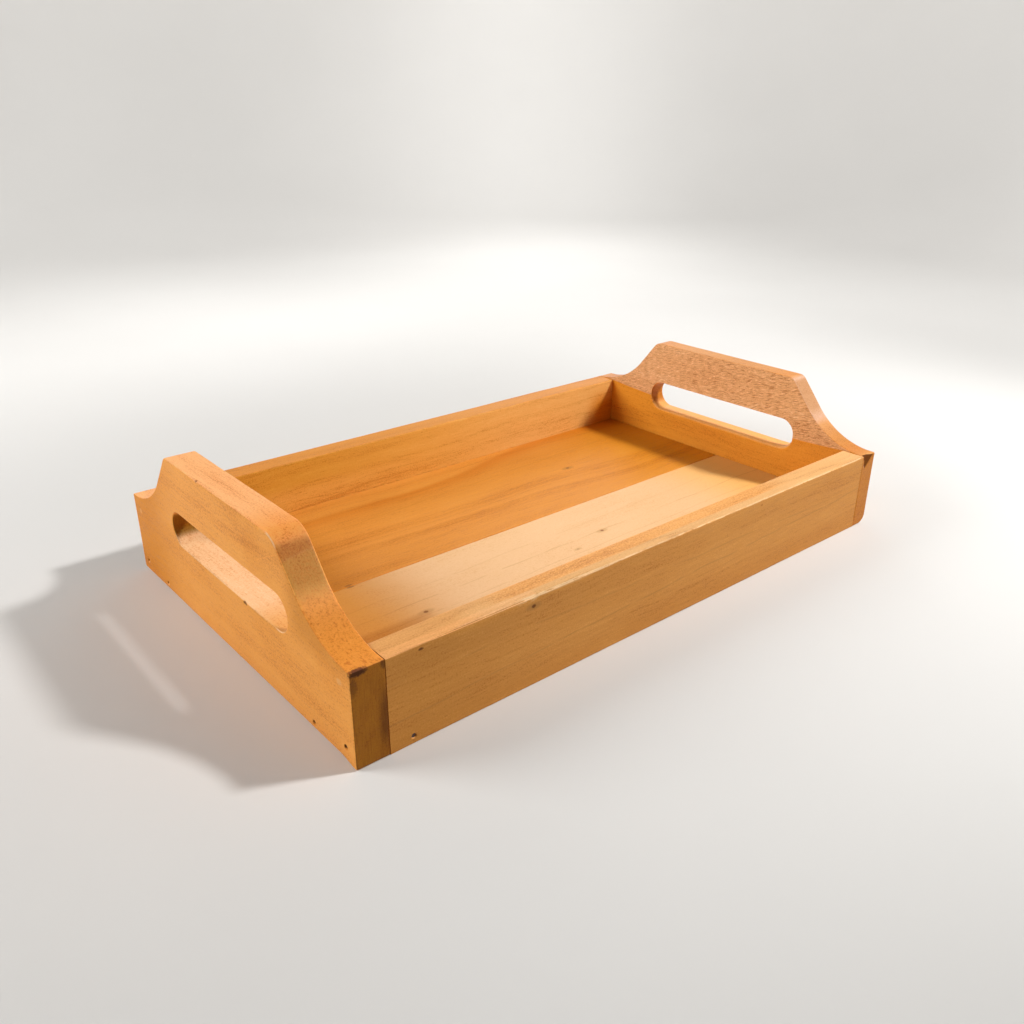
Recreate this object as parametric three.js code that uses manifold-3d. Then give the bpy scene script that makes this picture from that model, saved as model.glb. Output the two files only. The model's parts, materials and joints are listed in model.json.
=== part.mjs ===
// A wooden serving tray: two end boards with cut-out grips, two rails between them,
// a bottom of two boards glued edge to edge, and the brads that pin it all together.
// Millimetres. X runs along the tray from the left end board to the right one,
// -Y is the front, +Z is up, and the origin is the middle of the underside.

import * as THREE from 'three';
import * as BufferGeometryUtils from 'three/addons/utils/BufferGeometryUtils.js';
import Module from 'manifold-3d';

const wasm = await Module();
wasm.setup();

// Overall size
const TRAY_LENGTH = 412;
const TRAY_WIDTH = 250;
const RAIL_HEIGHT = 51.6;
const RAIL_THICKNESS = 15.8;
const GLUE_LINE = 0.2;

// The bottom: two boards, with the seam a little in front of the middle
const FLOOR_TOP = 17.4;
const FLOOR_THICKNESS = 16;
const FLOOR_SEAM_Y = -4.3;

// The end boards rise from rail height in a cove, up a straight slope, to a flat grip
const COVE_RADIUS = 60;
const SLOPE_ANGLE = THREE.MathUtils.degToRad(50.5);
const EDGE_EASE = 0.7;
const END_BOARDS = [
  {
    side: 'left',
    direction: -1,
    thickness: 17.8,
    height: 93.8,
    cornerRadius: { front: 16, back: 6 },
    grip: { length: 134, height: 20.4, centreY: -3.6, centreZ: 52.8 },
  },
  {
    side: 'right',
    direction: 1,
    thickness: 13.7,
    height: 92.3,
    cornerRadius: { front: 6, back: 9 },
    grip: { length: 134, height: 21.1, centreY: -1.6, centreZ: 50.6 },
  },
];

// Brads: round wire with a small head, driven below the surface in a clearance hole
const BRAD_LENGTH = 32;
const BRAD_RADIUS = 0.8;
const BRAD_HEAD_RADIUS = 1.2;
const BRAD_HEAD_LENGTH = 1.2;
const BRAD_HEAD_TAPER = 0.3;
const BRAD_POINT_LENGTH = 2.4;
const BRAD_SET = 0.8;
const BORE_CLEARANCE = 0.3;
const BRAD_SIDES = 12;
const BORE_OVERRUN = 1;

// Where the brads go: two in each corner, and two through each side into the bottom
const CORNER_BRADS = { low: 8.8, high: 43.1 };
const RAIL_CENTRE_Y = (TRAY_WIDTH - RAIL_THICKNESS) / 2;
const FLOOR_BRAD_FROM_MIDDLE_Y = 88;
const FLOOR_BRAD_FROM_MIDDLE_X = 175;
const END_FLOOR_BRAD_Z = 5.3;
const RAIL_FLOOR_BRAD_Z = 4.2;

const CURVE_SEGMENTS = 16;

const woods = {
  leftEnd: new THREE.MeshStandardMaterial({ color: 0xdc9a54, roughness: 0.62, metalness: 0 }),
  rightEnd: new THREE.MeshStandardMaterial({ color: 0xd08c58, roughness: 0.7, metalness: 0 }),
  rail: new THREE.MeshStandardMaterial({ color: 0xd2965a, roughness: 0.6, metalness: 0 }),
  paleFloor: new THREE.MeshStandardMaterial({ color: 0xf3cb98, roughness: 0.55, metalness: 0 }),
  warmFloor: new THREE.MeshStandardMaterial({ color: 0xe0924a, roughness: 0.55, metalness: 0 }),
};
const bradSteel = new THREE.MeshStandardMaterial({ color: 0x55504a, roughness: 0.5, metalness: 0.9 });

// Turns a shape drawn in Y and Z, and extruded along its own Z, so that it extrudes along X
const DRAWN_YZ_TO_TRAY = new THREE.Matrix4().makeBasis(
  new THREE.Vector3(0, 1, 0),
  new THREE.Vector3(0, 0, 1),
  new THREE.Vector3(1, 0, 0),
);

function toSolid(geometry) {
  const bare = geometry.clone();
  bare.deleteAttribute('normal');
  bare.deleteAttribute('uv');
  const merged = BufferGeometryUtils.mergeVertices(bare);
  const mesh = new wasm.Mesh({
    numProp: 3,
    vertProperties: Float32Array.from(merged.attributes.position.array),
    triVerts: Uint32Array.from(merged.index.array),
  });
  return new wasm.Manifold(mesh);
}

function toGeometry(solid) {
  const mesh = solid.getMesh();
  const geometry = new THREE.BufferGeometry();
  geometry.setAttribute('position', new THREE.BufferAttribute(mesh.vertProperties, 3));
  geometry.setIndex(new THREE.BufferAttribute(mesh.triVerts, 1));
  const flat = geometry.toNonIndexed();
  flat.computeVertexNormals();
  return flat;
}

// One brad, head end up along +Y, with its head's top at the origin
function bradGeometry() {
  const neck = -BRAD_HEAD_LENGTH;
  const shoulder = -BRAD_LENGTH + BRAD_POINT_LENGTH;
  const profile = [
    new THREE.Vector2(0, -BRAD_LENGTH),
    new THREE.Vector2(BRAD_RADIUS, shoulder),
    new THREE.Vector2(BRAD_RADIUS, neck),
    new THREE.Vector2(BRAD_HEAD_RADIUS, neck + BRAD_HEAD_TAPER),
    new THREE.Vector2(BRAD_HEAD_RADIUS, 0),
    new THREE.Vector2(0, 0),
  ];
  return new THREE.LatheGeometry(profile, BRAD_SIDES);
}

// The hole that a brad lies in: a wide mouth for the head and the set, then the shank's bore
function boreGeometry() {
  const mouth = BRAD_SET + BORE_OVERRUN;
  const seat = -BRAD_HEAD_LENGTH - BORE_CLEARANCE;
  const profile = [
    new THREE.Vector2(0, -BRAD_LENGTH - BORE_CLEARANCE),
    new THREE.Vector2(BRAD_RADIUS + BORE_CLEARANCE, -BRAD_LENGTH - BORE_CLEARANCE),
    new THREE.Vector2(BRAD_RADIUS + BORE_CLEARANCE, seat),
    new THREE.Vector2(BRAD_HEAD_RADIUS + BORE_CLEARANCE, seat),
    new THREE.Vector2(BRAD_HEAD_RADIUS + BORE_CLEARANCE, mouth),
    new THREE.Vector2(0, mouth),
  ];
  return new THREE.LatheGeometry(profile, BRAD_SIDES);
}

// Every brad has a name, the middle of its head and the outward direction that it was driven from
function cornerBrads() {
  const brads = [];
  for (const board of END_BOARDS) {
    for (const [rail, railSide] of [['front', -1], ['back', 1]]) {
      for (const [level, z] of Object.entries(CORNER_BRADS)) {
        const x = board.direction * (TRAY_LENGTH / 2 - BRAD_SET);
        brads.push({
          name: `corner_brad_${board.side}_${rail}_${level}`,
          head: new THREE.Vector3(x, railSide * RAIL_CENTRE_Y, z),
          outward: new THREE.Vector3(board.direction, 0, 0),
          pieces: [`${board.side}_end_board`, `${rail}_rail`],
        });
      }
    }
  }
  return brads;
}

function floorBrads() {
  const brads = [];
  for (const board of END_BOARDS) {
    for (const [half, railSide] of [['front', -1], ['rear', 1]]) {
      const rail = half === 'front' ? 'front' : 'back';
      const floorBoard = `bottom_board_${half}`;
      const endX = board.direction * (TRAY_LENGTH / 2 - BRAD_SET);
      const railX = board.direction * FLOOR_BRAD_FROM_MIDDLE_X;
      const railY = railSide * (TRAY_WIDTH / 2 - BRAD_SET);
      brads.push({
        name: `end_floor_brad_${board.side}_${half}`,
        head: new THREE.Vector3(endX, railSide * FLOOR_BRAD_FROM_MIDDLE_Y, END_FLOOR_BRAD_Z),
        outward: new THREE.Vector3(board.direction, 0, 0),
        pieces: [`${board.side}_end_board`, floorBoard],
      });
      brads.push({
        name: `rail_floor_brad_${rail}_${board.side}`,
        head: new THREE.Vector3(railX, railY, RAIL_FLOOR_BRAD_Z),
        outward: new THREE.Vector3(0, railSide, 0),
        pieces: [`${rail}_rail`, floorBoard],
      });
    }
  }
  return brads;
}

const brads = [...cornerBrads(), ...floorBrads()];

function turnToOutward(outward) {
  return new THREE.Quaternion().setFromUnitVectors(new THREE.Vector3(0, 1, 0), outward);
}

// Cuts the holes of the brads that pass through the named piece, whose middle is at place
function drill(geometry, pieceName, place) {
  let solid = toSolid(geometry);
  for (const brad of brads.filter((entry) => entry.pieces.includes(pieceName))) {
    const bore = boreGeometry();
    bore.applyQuaternion(turnToOutward(brad.outward));
    const centre = brad.head.clone().sub(place);
    bore.translate(centre.x, centre.y, centre.z);
    solid = solid.subtract(toSolid(bore));
  }
  return toGeometry(solid);
}

function pinnedPiece(name, geometry, place, material) {
  const piece = new THREE.Mesh(drill(geometry, name, place), material);
  piece.name = name;
  piece.position.copy(place);
  return piece;
}

// Half of an end board's top edge, from the middle of the grip outwards (side is -1 or 1)
function topEdge(side, height, cornerRadius) {
  const endY = side * TRAY_WIDTH / 2;
  const coveRise = COVE_RADIUS * (1 - Math.cos(SLOPE_ANGLE));
  const coveTopY = TRAY_WIDTH / 2 - COVE_RADIUS * Math.sin(SLOPE_ANGLE);
  const slopeRise = height - RAIL_HEIGHT - coveRise;
  const shoulderY = coveTopY - slopeRise / Math.tan(SLOPE_ANGLE);
  const tangent = cornerRadius * Math.tan(SLOPE_ANGLE / 2);
  const cornerY = side * (shoulderY - tangent);
  const up = Math.PI / 2;
  return {
    corner: { y: cornerY, z: height - cornerRadius, from: up, to: up - side * SLOPE_ANGLE },
    cove: { y: endY, z: RAIL_HEIGHT + COVE_RADIUS, from: -up - side * SLOPE_ANGLE, to: -up },
  };
}

// The outline of an end board, walked from the front foot up over the grip to the back foot
function endBoardOutline(board) {
  const front = topEdge(-1, board.height, board.cornerRadius.front);
  const back = topEdge(1, board.height, board.cornerRadius.back);
  const outline = new THREE.Shape();
  outline.moveTo(TRAY_WIDTH / 2, 0);
  outline.lineTo(TRAY_WIDTH / 2, RAIL_HEIGHT);
  outline.absarc(back.cove.y, back.cove.z, COVE_RADIUS, back.cove.to, back.cove.from, true);
  outline.absarc(
    back.corner.y, back.corner.z, board.cornerRadius.back, back.corner.to, back.corner.from, false,
  );
  outline.absarc(
    front.corner.y, front.corner.z, board.cornerRadius.front, front.corner.from, front.corner.to, false,
  );
  outline.absarc(front.cove.y, front.cove.z, COVE_RADIUS, front.cove.from, front.cove.to, true);
  outline.lineTo(-TRAY_WIDTH / 2, 0);
  outline.closePath();
  return outline;
}

// The grip is a slot with half-round ends
function gripSlot(grip) {
  const radius = grip.height / 2;
  const reach = grip.length / 2 - radius;
  const down = -Math.PI / 2;
  const up = Math.PI / 2;
  const slot = new THREE.Path();
  slot.moveTo(grip.centreY - reach, grip.centreZ - radius);
  slot.lineTo(grip.centreY + reach, grip.centreZ - radius);
  slot.absarc(grip.centreY + reach, grip.centreZ, radius, down, up, false);
  slot.absarc(grip.centreY - reach, grip.centreZ, radius, up, up + Math.PI, false);
  return slot;
}

function endBoard(board) {
  const outline = endBoardOutline(board);
  outline.holes.push(gripSlot(board.grip));
  const geometry = new THREE.ExtrudeGeometry(outline, {
    depth: board.thickness - 2 * EDGE_EASE,
    curveSegments: CURVE_SEGMENTS,
    bevelEnabled: true,
    bevelThickness: EDGE_EASE,
    bevelSize: EDGE_EASE,
    bevelOffset: -EDGE_EASE,
    bevelSegments: 1,
  });
  geometry.applyMatrix4(DRAWN_YZ_TO_TRAY);
  geometry.translate(EDGE_EASE - board.thickness / 2, 0, 0);
  const x = board.direction * (TRAY_LENGTH - board.thickness) / 2;
  const material = board.side === 'left' ? woods.leftEnd : woods.rightEnd;
  return pinnedPiece(`${board.side}_end_board`, geometry, new THREE.Vector3(x, 0, 0), material);
}

// The space between the end boards, where the rails and the bottom fit
const INNER_LEFT = -TRAY_LENGTH / 2 + END_BOARDS[0].thickness;
const INNER_RIGHT = TRAY_LENGTH / 2 - END_BOARDS[1].thickness;
const INNER_MIDDLE_X = (INNER_LEFT + INNER_RIGHT) / 2;
const INNER_LENGTH = INNER_RIGHT - INNER_LEFT - 2 * GLUE_LINE;

function rail(name, side) {
  const geometry = new THREE.BoxGeometry(INNER_LENGTH, RAIL_THICKNESS, RAIL_HEIGHT);
  const place = new THREE.Vector3(INNER_MIDDLE_X, side * RAIL_CENTRE_Y, RAIL_HEIGHT / 2);
  return pinnedPiece(name, geometry, place, woods.rail);
}

function floorBoard(name, fromY, toY, material) {
  const width = toY - fromY - 2 * GLUE_LINE;
  const geometry = new THREE.BoxGeometry(INNER_LENGTH, width, FLOOR_THICKNESS);
  const middleY = (fromY + toY) / 2;
  const middleZ = FLOOR_TOP - FLOOR_THICKNESS / 2;
  return pinnedPiece(name, geometry, new THREE.Vector3(INNER_MIDDLE_X, middleY, middleZ), material);
}

function bradMesh(brad) {
  const mesh = new THREE.Mesh(bradGeometry(), bradSteel);
  mesh.name = brad.name;
  mesh.position.copy(brad.head);
  mesh.quaternion.copy(turnToOutward(brad.outward));
  return mesh;
}

const INNER_HALF_WIDTH = TRAY_WIDTH / 2 - RAIL_THICKNESS;

const tray = new THREE.Group();
tray.name = 'serving_tray';
for (const board of END_BOARDS) {
  tray.add(endBoard(board));
}
tray.add(rail('front_rail', -1));
tray.add(rail('back_rail', 1));
tray.add(floorBoard('bottom_board_front', -INNER_HALF_WIDTH, FLOOR_SEAM_Y, woods.paleFloor));
tray.add(floorBoard('bottom_board_rear', FLOOR_SEAM_Y, INNER_HALF_WIDTH, woods.warmFloor));
for (const brad of brads) {
  tray.add(bradMesh(brad));
}

export default tray;
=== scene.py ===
"""A wooden serving tray in soft studio light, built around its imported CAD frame. Metres, +Z up."""
import json
import math

import bpy
import numpy as np
from mathutils import Matrix, Vector, noise
from mathutils.geometry import delaunay_2d_cdt

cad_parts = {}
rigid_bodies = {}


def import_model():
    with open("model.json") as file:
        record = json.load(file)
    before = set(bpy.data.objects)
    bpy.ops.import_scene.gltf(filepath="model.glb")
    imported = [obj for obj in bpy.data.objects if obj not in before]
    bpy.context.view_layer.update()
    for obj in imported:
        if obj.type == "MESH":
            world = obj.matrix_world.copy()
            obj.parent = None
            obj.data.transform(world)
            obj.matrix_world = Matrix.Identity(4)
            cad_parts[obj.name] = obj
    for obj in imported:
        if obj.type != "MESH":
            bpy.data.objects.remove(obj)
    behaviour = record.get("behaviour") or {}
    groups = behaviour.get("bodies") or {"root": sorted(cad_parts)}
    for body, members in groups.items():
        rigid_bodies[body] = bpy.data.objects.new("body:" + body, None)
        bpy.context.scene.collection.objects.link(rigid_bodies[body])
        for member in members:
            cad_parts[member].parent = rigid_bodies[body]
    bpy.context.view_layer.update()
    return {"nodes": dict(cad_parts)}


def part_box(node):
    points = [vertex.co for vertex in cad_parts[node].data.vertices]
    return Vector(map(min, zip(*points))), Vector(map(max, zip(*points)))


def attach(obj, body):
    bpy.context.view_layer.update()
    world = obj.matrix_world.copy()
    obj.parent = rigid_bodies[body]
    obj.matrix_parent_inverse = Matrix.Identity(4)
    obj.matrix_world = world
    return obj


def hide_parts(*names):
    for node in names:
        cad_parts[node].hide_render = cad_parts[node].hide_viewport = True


for start_object in list(bpy.data.objects):
    bpy.data.objects.remove(start_object)

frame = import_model()

MM = 0.001
X, Y, Z = 0, 1, 2
QUARTER = math.pi / 2

# The end boards' top edge, as the design has it: a cove, a straight slope and a flat grip
COVE_RADIUS = 60 * MM
TIP_RADIUS = 1.0 * MM
SLOPE_ANGLE = math.radians(50.5)
CORNER_RADII = {"left": (16 * MM, 6 * MM), "right": (6 * MM, 9 * MM)}
GRIP_LENGTH = 134 * MM
GRIPS = {
    "left": {"height": 20.4 * MM, "y": -3.6 * MM, "z": 52.8 * MM},
    "right": {"height": 21.1 * MM, "y": -1.6 * MM, "z": 50.6 * MM},
}
CORNER_BRAD_Z = (8.8 * MM, 43.1 * MM)

LEFT_LOW, LEFT_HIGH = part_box("left_end_board")
RIGHT_LOW, RIGHT_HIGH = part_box("right_end_board")
FRONT_LOW, FRONT_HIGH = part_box("front_rail")
BACK_LOW, BACK_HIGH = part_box("back_rail")
PALE_LOW, PALE_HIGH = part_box("bottom_board_front")
WARM_LOW, WARM_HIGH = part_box("bottom_board_rear")
RAIL_TOP = FRONT_HIGH.z


def link(name, data):
    """A new object in the scene for a mesh, a light or a camera."""
    thing = bpy.data.objects.new(name, data)
    bpy.context.scene.collection.objects.link(thing)
    return thing


def smooth_mesh(name, points, faces):
    mesh = bpy.data.meshes.new(name)
    mesh.from_pydata(points, [], faces)
    mesh.polygons.foreach_set("use_smooth", np.ones(len(mesh.polygons), bool))
    return mesh


# ---------------------------------------------------------------- outlines

def smooth_step(low, high, value):
    """0 at low, 1 at high, smooth between."""
    t = np.clip((np.asarray(value, float) - low) / (high - low), 0, 1)
    return t * t * (3 - 2 * t)


def ripple(values, scale, seed):
    """Smooth noise between about -1 and 1 along a list of numbers or points."""
    rows = np.atleast_2d(np.asarray(values, float).T).T
    wide = np.zeros((len(rows), 3))
    wide[:, : rows.shape[1]] = rows
    shift = Vector((seed * 7.3, seed * 3.1, seed * 5.7))
    return np.array([noise.noise(Vector(row) * scale + shift) for row in wide])


class Outline:
    """A closed loop of points with the material on its left, each with its normal out of the material.

    Where a tight corner can't be inset by more than its radius, the points past it slide along the mitre."""

    def __init__(self):
        self.points = []
        self.normals = []
        self.radii = []
        self.mitres = []

    def line(self, start, end, step):
        start, end = np.array(start), np.array(end)
        length = np.linalg.norm(end - start)
        along = (end - start) / length
        normal = (along[1], -along[0])
        count = max(2, round(length / step))
        for k in range(1, count):
            self._add(start + along * length * k / count, normal, None, (0, 0))

    def arc(self, centre, radius, start, end, step, hollow=False):
        """An arc from angle start to angle end; a hollow one curves into the material."""
        count = max(4, math.ceil(abs(end - start) * radius / step))
        middle = (start + end) / 2
        mitre = np.array((math.cos(middle), math.sin(middle))) * math.sqrt(2)
        for k in range(count + 1):
            angle = start + (end - start) * k / count
            ray = np.array((math.cos(angle), math.sin(angle)))
            if hollow:
                self._add(np.array(centre) + ray * radius, -ray, None, (0, 0))
            else:
                self._add(np.array(centre) + ray * radius, ray, radius, mitre)

    def _add(self, point, normal, radius, mitre):
        if self.points and np.linalg.norm(point - self.points[-1]) < 0.05 * MM:
            return
        self.points.append(point)
        self.normals.append(normal)
        self.radii.append(1.0 if radius is None else radius)
        self.mitres.append(mitre)

    def finish(self):
        for name in ("points", "normals", "radii", "mitres"):
            setattr(self, name, np.array(getattr(self, name), float))
        return self

    def inset(self, depth):
        """The loop moved into the material by depth, one number or one for each point."""
        depth = np.broadcast_to(np.asarray(depth, float), (len(self.points),))
        turn = np.minimum(depth, self.radii - 0.03 * MM)
        past = np.maximum(depth - self.radii, 0)
        return self.points - self.normals * turn[:, None] - self.mitres * past[:, None]


def box_outline(low, high, corner, step):
    """A rectangle from low to high, walked anticlockwise, with its four corners rounded."""
    left, right, bottom, top = low[0] + corner, high[0] - corner, low[1] + corner, high[1] - corner
    sides = (
        ((left, low[1]), (right, low[1]), (right, bottom)),
        ((high[0], bottom), (high[0], top), (right, top)),
        ((right, high[1]), (left, high[1]), (left, top)),
        ((low[0], top), (low[0], bottom), (left, bottom)),
    )
    outline = Outline()
    for number, (start, end, centre) in enumerate(sides):
        outline.line(start, end, step)
        outline.arc(centre, corner, (number - 1) * QUARTER, number * QUARTER, step)
    return outline.finish()


def handle_half(high, corner, side):
    """Where the cove, the slope and the corner of one half of an end board's top edge meet."""
    cove_rise = COVE_RADIUS * (1 - math.cos(SLOPE_ANGLE))
    cove_top_y = high.y - COVE_RADIUS * math.sin(SLOPE_ANGLE)
    slope_rise = high.z - RAIL_TOP - cove_rise
    shoulder_y = cove_top_y - slope_rise / math.tan(SLOPE_ANGLE)
    tangent = corner * math.tan(SLOPE_ANGLE / 2)
    return {
        "cove": (side * high.y, RAIL_TOP + COVE_RADIUS),
        "cove_top": (side * cove_top_y, RAIL_TOP + cove_rise),
        "corner": (side * (shoulder_y - tangent), high.z - corner),
        "slope_end": (
            side * (shoulder_y + tangent * math.cos(SLOPE_ANGLE)),
            high.z - tangent * math.sin(SLOPE_ANGLE),
        ),
        "flat_end": (side * (shoulder_y - tangent), high.z),
    }


def end_board_outline(low, high, corners, foot_radii, step):
    """An end board in Y and Z: up the back, over the shaped top, down the front. Each pair of corners
    or feet is its front one and its back one."""
    front_corner, back_corner = corners
    front_foot, back_foot = foot_radii
    front = handle_half(high, front_corner, -1)
    back = handle_half(high, back_corner, 1)
    tip = TIP_RADIUS
    outline = Outline()
    outline.line((low.y + front_foot, 0), (high.y - back_foot, 0), step)
    outline.arc((high.y - back_foot, back_foot), back_foot, -QUARTER, 0, step)
    outline.line((high.y, back_foot), (high.y, RAIL_TOP - tip), step)
    outline.arc((high.y - tip, RAIL_TOP - tip), tip, 0, QUARTER, step)
    tip_turn = math.asin(tip / COVE_RADIUS)
    outline.arc(back["cove"], COVE_RADIUS, -QUARTER - tip_turn, -QUARTER - SLOPE_ANGLE, step, True)
    outline.line(back["cove_top"], back["slope_end"], step)
    outline.arc(back["corner"], back_corner, QUARTER - SLOPE_ANGLE, QUARTER, step)
    outline.line(back["flat_end"], front["flat_end"], step)
    outline.arc(front["corner"], front_corner, QUARTER, QUARTER + SLOPE_ANGLE, step)
    outline.line(front["slope_end"], front["cove_top"], step)
    outline.arc(front["cove"], COVE_RADIUS, -QUARTER + SLOPE_ANGLE, -QUARTER + tip_turn, step, True)
    outline.arc((low.y + tip, RAIL_TOP - tip), tip, QUARTER, 2 * QUARTER, step)
    outline.line((low.y, RAIL_TOP - tip), (low.y, front_foot), step)
    outline.arc((low.y + front_foot, front_foot), front_foot, 2 * QUARTER, 3 * QUARTER, step)
    return outline.finish()


def grip_outline(grip, step):
    """The finger slot, walked clockwise so that the material is still on the left."""
    radius = grip["height"] / 2
    reach = GRIP_LENGTH / 2 - radius
    outline = Outline()
    left, right, z = grip["y"] - reach, grip["y"] + reach, grip["z"]
    outline.line((right, z - radius), (left, z - radius), step)
    outline.arc((left, z), radius, -QUARTER, -3 * QUARTER, step, True)
    outline.line((left, z + radius), (right, z + radius), step)
    outline.arc((right, z), radius, QUARTER, -QUARTER, step, True)
    return outline.finish()


# ---------------------------------------------------------------- slabs

def inside(points, loop):
    """Which points lie inside a closed loop."""
    x, y = points[:, 0][:, None], points[:, 1][:, None]
    x0, y0 = loop[:, 0][None, :], loop[:, 1][None, :]
    x1, y1 = np.roll(loop[:, 0], -1)[None, :], np.roll(loop[:, 1], -1)[None, :]
    spans = (y0 > y) != (y1 > y)
    rise = np.where(y1 == y0, 1e-12, y1 - y0)
    crossing = x < (x1 - x0) * (y - y0) / rise + x0
    return (spans & crossing).sum(1) % 2 == 1


CLEAR_OF_BORDER = 0.55


def by_blocks(points, test, size=4000):
    """Runs a test on points in blocks, which bounds the memory it takes."""
    return np.concatenate([test(points[k: k + size]) for k in range(0, len(points), size)])


def lattice(low, high, step):
    """Points on a triangular lattice that covers a rectangle."""
    row_height = step * math.sqrt(3) / 2
    rows = np.arange(low[1] + row_height, high[1], row_height)
    return np.array([
        (u, v)
        for k, v in enumerate(rows)
        for u in np.arange(low[0] + step * (0.5 + 0.5 * (k % 2)), high[0], step)
    ])


def fill_face(loops, step, zones=()):
    """Triangulates the first loop less the others, with a lattice of points inside.

    Each zone is a test on points and the finer step of the lattice where the test holds."""
    outer, *holes = loops
    borders = np.concatenate(loops)

    def in_wood(block):
        wanted = inside(block, outer)
        for hole in holes:
            wanted &= ~inside(block, hole)
        return wanted

    inner_points = []
    for number, (test, zone_step) in enumerate(((None, step), *zones)):
        points = lattice(outer.min(0), outer.max(0), zone_step)
        if test is not None:
            points = points[test(points)]
        for finer_test, _ in zones[number:]:
            points = points[~finer_test(points)]

        def keep(block):
            gaps = np.sqrt(((block[:, None, :] - borders[None, :, :]) ** 2).sum(2)).min(1)
            return in_wood(block) & (gaps > CLEAR_OF_BORDER * zone_step)

        inner_points.append(points[by_blocks(points, keep, 1500)])
    points = np.concatenate([borders, *inner_points])
    edges = []
    start = 0
    for loop in loops:
        count = len(loop)
        edges += [(start + k, start + (k + 1) % count) for k in range(count)]
        start += count
    result = delaunay_2d_cdt([Vector(p) for p in points], edges, [], 0, 1e-9)
    triangles = np.array(result[2])
    source = np.array([where[0] for where in result[3]])
    centres = np.array([list(v) for v in result[0]])[triangles].mean(1)
    return points, source[triangles[by_blocks(centres, in_wood)]]


class Slab:
    """A board cut from a flat outline: two faces, rounded edges and a rim, all as one closed mesh."""

    SUPPORT = 0.35 * MM
    ARC_STEPS = 5
    LEAST_WEAR = 0.35

    def __init__(self, name, axes, low, high, loops, eases, steps, zones):
        """axes are the outline's two axes and the thickness axis; low and high are the two faces.
        eases holds, for each loop, the edge radius at the low and at the high face.
        steps are the spacing of the points on the low face, on the high face and across the rim."""
        step_low, step_high, rim_step = steps
        self.name = name
        self.axes = axes
        self.flip = np.cross(np.eye(3)[axes[0]], np.eye(3)[axes[1]])[axes[2]] < 0
        self.low, self.high = low, high
        vertices, faces, edge = [], [], []
        borders = {"low": [], "high": []}
        count = 0
        for loop, (ease_low, ease_high) in zip(loops, eases):
            rings = self._rings(loop, ease_low, ease_high, rim_step)
            size = len(loop.points)
            for flat, depth, wear in rings:
                vertices.append(np.column_stack([flat, depth]))
                edge.append(np.full(size, wear))
            for k in range(len(rings) - 1):
                a = count + k * size + np.arange(size)
                b = np.roll(a, -1)
                faces += np.column_stack([a, b, b + size, a + size]).tolist()
            borders["low"].append((count, rings[0][0]))
            borders["high"].append((count + (len(rings) - 1) * size, rings[-1][0]))
            count += len(rings) * size
        for side, depth, step in (("low", low, step_low), ("high", high, step_high)):
            loops_flat = [flat for _, flat in borders[side]]
            points, triangles = fill_face(loops_flat, step, zones.get(side, ()))
            index = np.concatenate([start + np.arange(len(flat)) for start, flat in borders[side]])
            extra = len(points) - len(index)
            index = np.concatenate([index, count + np.arange(extra)])
            added = points[len(points) - extra:]
            vertices.append(np.column_stack([added, np.full(extra, depth)]))
            edge.append(np.zeros(extra))
            order = triangles if side == "high" else triangles[:, ::-1]
            faces += index[order].tolist()
            count += extra
        flat = np.concatenate(vertices)
        self.points = np.zeros_like(flat)
        for k, axis in enumerate(axes):
            self.points[:, axis] = flat[:, k]
        self.faces = faces
        self.edge = np.concatenate(edge)

    def _rings(self, loop, ease_low, ease_high, rim_step):
        """The loops of points from the low face, over its edge, up the rim and onto the high face."""
        size = len(loop.points)
        low, high = (np.broadcast_to(np.asarray(ease, float), (size,)) for ease in (ease_low, ease_high))

        def rounded(ease, face, side):
            rings = [(loop.inset(ease + self.SUPPORT), np.full(size, face), 0.0)]
            for k in range(self.ARC_STEPS + 1):
                turn = k / self.ARC_STEPS * QUARTER
                wear = math.sin(2 * turn) ** 0.5 if 0 < k < self.ARC_STEPS else self.LEAST_WEAR
                depth = face + side * ease * (1 - math.cos(turn))
                rings.append((loop.inset(ease * (1 - math.sin(turn))), depth, wear))
            return rings

        between = max(2, round((self.high - self.low - low.max() - high.max()) / rim_step))
        bottom, top = self.low + low, self.high - high
        rim = [(loop.points, bottom + (top - bottom) * k / between, 0.0) for k in range(1, between)]
        return rounded(low, self.low, 1) + rim + rounded(high, self.high, -1)[::-1]

    def push(self, centre, reach, shift):
        """A dent: points within reach of centre move by shift, most at the middle."""
        away = np.linalg.norm((self.points - np.array(centre)) / np.array(reach), axis=1)
        self.points += smooth_step(0, 1, 1 - away)[:, None] * np.array(shift)

    def build(self):
        faces = [face[::-1] for face in self.faces] if self.flip else self.faces
        mesh = smooth_mesh(self.name, self.points.tolist(), faces)
        layer = mesh.attributes.new("wear", "FLOAT", "POINT")
        layer.data.foreach_set("value", self.edge.astype(np.float32))
        mesh.validate()
        mesh.update()
        return link(self.name, mesh)


def ease_along(outline, *parts):
    """Edge radii along an outline: a base value, then (test, value) pairs, with a slight wander."""
    base, *rest = parts
    ease = np.full(len(outline.points), base)
    for test, value in rest:
        ease = np.where(test(outline.points[:, 0], outline.points[:, 1]), value, ease)
    smooth = ease.copy()
    for _ in range(3):
        smooth = (np.roll(smooth, 1) + smooth + np.roll(smooth, -1)) / 3
    return np.minimum(smooth, ease + 0.4 * MM) * (1 + 0.3 * ripple(outline.points, 45, len(ease)))


def near(centres, reach):
    """A test for points close to any of the centres."""
    centres = np.array(centres)

    def test(points):
        gaps = np.sqrt(((points[:, None, :] - centres[None, :, :]) ** 2).sum(2)).min(1)
        return gaps < reach

    return lambda points: by_blocks(points, test) if len(points) else np.zeros(0, bool)


PIT_RADIUS = 1.25 * MM
PIT_DEPTH = 1.25 * MM
FILLED_DEPTH = 0.12 * MM


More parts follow.
